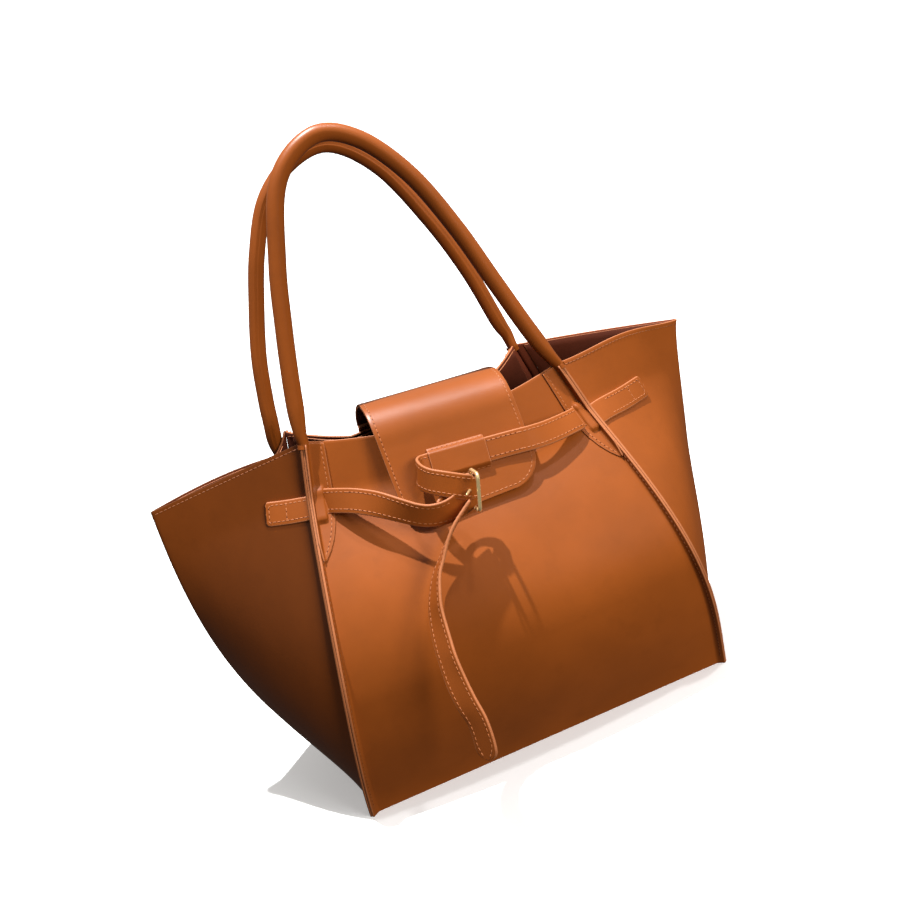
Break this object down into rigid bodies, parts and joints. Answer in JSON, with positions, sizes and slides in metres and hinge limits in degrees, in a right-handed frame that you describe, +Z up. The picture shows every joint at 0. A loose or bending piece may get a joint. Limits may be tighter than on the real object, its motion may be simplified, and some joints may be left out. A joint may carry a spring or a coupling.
{
  "type": "trapeze bag",
  "caption": "Trapeze-shaped leather handbag with flared side gussets, rolled handles, and a centre flap held by a belt with a pin buckle.",
  "frame": {"origin": "middle of the base's underside", "axes": "+X to the right and +Z up, with the front of the bag facing -Y"},
  "size_m": [0.4988, 0.3289, 0.53],
  "materials": {
    "tan_leather": "smooth, semi-matt, tan",
    "dark_lining": "matt, dark red-brown",
    "board": "raw fibre board",
    "cord": "twisted cotton cord, hidden",
    "gold": "polished pale gold"
  },
  "bodies": {
    "bag": {"front_panel": "tan_leather", "rear_panel": "tan_leather", "left_gusset": "tan_leather", "right_gusset": "tan_leather", "base_panel": "tan_leather", "base_board": "board", "front_lining": "dark_lining", "rear_lining": "dark_lining", "left_gusset_lining": "dark_lining", "right_gusset_lining": "dark_lining", "front_left_handle_tab": "tan_leather", "front_right_handle_tab": "tan_leather", "rear_left_handle_tab": "tan_leather", "rear_right_handle_tab": "tan_leather", "flap_seat": "tan_leather", "left_strap_end": "tan_leather", "right_strap_end": "tan_leather", "left_strap_run": "tan_leather", "right_strap_run": "tan_leather"},
    "front_handle": {"front_handle_tube": "tan_leather", "front_handle_core": "cord"},
    "rear_handle": {"rear_handle_tube": "tan_leather", "rear_handle_core": "cord"},
    "flap": {"flap": "tan_leather", "flap_lining": "tan_leather", "flap_keeper": "tan_leather", "left_strap_loop": "tan_leather", "right_strap_fold": "tan_leather"},
    "tail": {"strap_tail": "tan_leather"},
    "frame": {"buckle_frame": "gold"},
    "prong": {"buckle_prong": "gold"}
  },
  "joints": [
    {"name": "front_handle_swing", "type": "hinge", "parent": "bag", "child": "front_handle", "pos_m": [-0.002, -0.057, 0.305], "axis": [0.9987, 0, -0.0504], "range_deg": [-11, 90]},
    {"name": "rear_handle_swing", "type": "hinge", "parent": "bag", "child": "rear_handle", "pos_m": [-0.0065, 0.057, 0.3085], "axis": [0.9998, 0, 0.0176], "range_deg": [-100, 11]},
    {"name": "flap_lift", "type": "hinge", "parent": "bag", "child": "flap", "pos_m": [0, 0.0205, 0.2858], "axis": [-1, 0, 0], "range_deg": [0, 25], "deforming": ["left_strap_run", "right_strap_run"]},
    {"name": "tail_swing", "type": "hinge", "parent": "flap", "child": "tail", "pos_m": [-0.0145, -0.1305, 0.2265], "axis": [-1, 0, 0], "range_deg": [-8, 40]},
    {"name": "buckle_frame_swing", "type": "hinge", "parent": "flap", "child": "frame", "pos_m": [-0.006, -0.118, 0.235], "axis": [0.2368, 0, 0.9715], "range_deg": [-8, 10]},
    {"name": "buckle_prong_swing", "type": "hinge", "parent": "flap", "child": "prong", "pos_m": [-0.006, -0.118, 0.235], "axis": [0.2368, 0, 0.9715], "range_deg": [-4, 4]}
  ]
}
